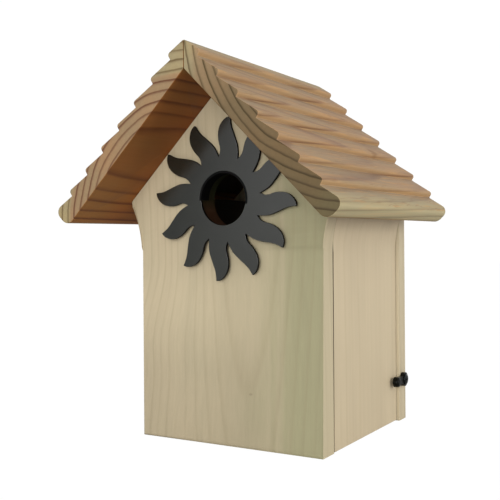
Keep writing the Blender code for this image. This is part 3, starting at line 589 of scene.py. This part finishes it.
for node in frame["nodes"]:
    if "dowel" in node:
        repaint(node, dowel_wood)
    elif node.startswith("door_pin"):
        repaint(node, bright)
    elif "screw" in node and node != "button_screw" or node == "hanger_plate":
        repaint(node, zinc)

# ------------------------------------------------------------------ studio and camera


FLOOR_HALF_SIZE = 4.0
FLOOR_GAP = 0.0002                  # under the object, so that no faces coincide
FLOOR_GLOW = 1.02                   # strength, for a floor that reads as white
FLOOR_GLOW_SHARE = 0.98             # of what the camera sees; lamps only meet the grey
LAMP_SIZE = 0.6
LAMP_AIM = (0.0, 0.0, 0.11)

SKY_LOW, SKY_HIGH = 1.02, 0.5       # strength near the horizon and overhead
SKY_FADE_FROM, SKY_FADE_TO = 0.32, 0.95
FLAG_SIDE = (-0.766, -0.643, 0.14)  # a dark flag stands that way, for the plate to mirror
FLAG_EDGE, FLAG_FULL = 0.9304, 0.9703
FLAG_PASSES = 0.1                   # the share of light that comes through it

CAMERA_PLACE = (0.27523, -0.48531, 0.12698)
CAMERA_YAW = 0.5296026              # radians, as the next two
CAMERA_PITCH = -0.0122484
CAMERA_ROLL = -0.0095242
CAMERA_LENS = 61.01


def studio_floor():
    shape = bmesh.new()
    bmesh.ops.create_grid(shape, x_segments=1, y_segments=1, size=FLOOR_HALF_SIZE)
    bmesh.ops.translate(shape, verts=shape.verts, vec=(0.0, 0.0, cad_low.z - FLOOR_GAP))
    mesh = bpy.data.meshes.new("studio_floor")
    shape.to_mesh(mesh)
    shape.free()
    floor = bpy.data.objects.new("studio_floor", mesh)
    bpy.context.scene.collection.objects.link(floor)
    finish = Finish("studio_white")
    mesh.materials.append(finish.set(Base_Color=FLOOR_GREY, Roughness=0.9))
    glow = finish.node("ShaderNodeEmission", inputs={"Strength": FLOOR_GLOW})
    seen = finish.node("ShaderNodeLightPath", output="Is Camera Ray")
    share = finish.node("ShaderNodeMixShader", inputs=[seen * FLOOR_GLOW_SHARE])
    both = share.socket.node
    finish.links.new(finish.shader.outputs[0], both.inputs[1])
    finish.links.new(glow.socket, both.inputs[2])
    finish.links.new(both.outputs[0], finish.nodes["Material Output"].inputs["Surface"])


def soft_light(name, place, power):
    lamp = bpy.data.lights.new(name, "AREA")
    lamp.shape = "SQUARE"
    lamp.size = LAMP_SIZE
    lamp.energy = power
    light = bpy.data.objects.new(name, lamp)
    light.location = place
    aim = Vector(LAMP_AIM) - Vector(place)
    light.rotation_euler = aim.to_track_quat("-Z", "Y").to_euler()
    bpy.context.scene.collection.objects.link(light)


def studio_light():
    """White all round near the horizon and dimmer overhead, with two soft boxes."""
    world = bpy.data.worlds.new("studio")
    world.use_nodes = True
    bpy.context.scene.world = world
    nodes = world.node_tree.nodes
    links = world.node_tree.links

    def smooth_step(low, high, to_low, to_high):
        step = nodes.new("ShaderNodeMapRange")
        step.interpolation_type = "SMOOTHSTEP"
        for socket, value in enumerate((low, high, to_low, to_high), 1):
            step.inputs[socket].default_value = value
        return step

    place = nodes.new("ShaderNodeTexCoord")
    height = nodes.new("ShaderNodeSeparateXYZ")
    fade = smooth_step(SKY_FADE_FROM, SKY_FADE_TO, SKY_LOW, SKY_HIGH)
    toward = nodes.new("ShaderNodeVectorMath")
    toward.operation = "DOT_PRODUCT"
    toward.inputs[1].default_value = Vector(FLAG_SIDE).normalized()
    flag = smooth_step(FLAG_EDGE, FLAG_FULL, 1.0, FLAG_PASSES)
    strength = nodes.new("ShaderNodeMath")
    strength.operation = "MULTIPLY"
    links.new(place.outputs["Generated"], height.inputs[0])
    links.new(place.outputs["Generated"], toward.inputs[0])
    links.new(toward.outputs["Value"], flag.inputs[0])
    links.new(height.outputs["Z"], fade.inputs[0])
    links.new(fade.outputs[0], strength.inputs[0])
    links.new(flag.outputs[0], strength.inputs[1])
    links.new(strength.outputs[0], nodes["Background"].inputs["Strength"])
    nodes["Background"].inputs["Color"].default_value = (1.0, 1.0, 1.0, 1.0)
    soft_light("front_box", (0.35, -1.5, 0.33), 9.5)
    soft_light("right_box", (1.5, -0.15, 0.33), 8.0)


def studio_camera():
    """Three-quarter view from the right, level with the middle of the object."""
    lens = bpy.data.cameras.new("camera")
    lens.sensor_width = 36.0
    lens.lens = CAMERA_LENS
    lens.clip_start = 0.01
    camera = bpy.data.objects.new("camera", lens)
    turn = Matrix.Rotation(CAMERA_YAW, 4, "Z")
    turn @= Matrix.Rotation(RIGHT_ANGLE + CAMERA_PITCH, 4, "X")
    turn @= Matrix.Rotation(CAMERA_ROLL, 4, "Z")
    camera.matrix_world = Matrix.Translation(CAMERA_PLACE) @ turn
    bpy.context.scene.collection.objects.link(camera)
    bpy.context.scene.camera = camera


studio_floor()
studio_light()
studio_camera()
bpy.context.scene.view_settings.view_transform = "Standard"
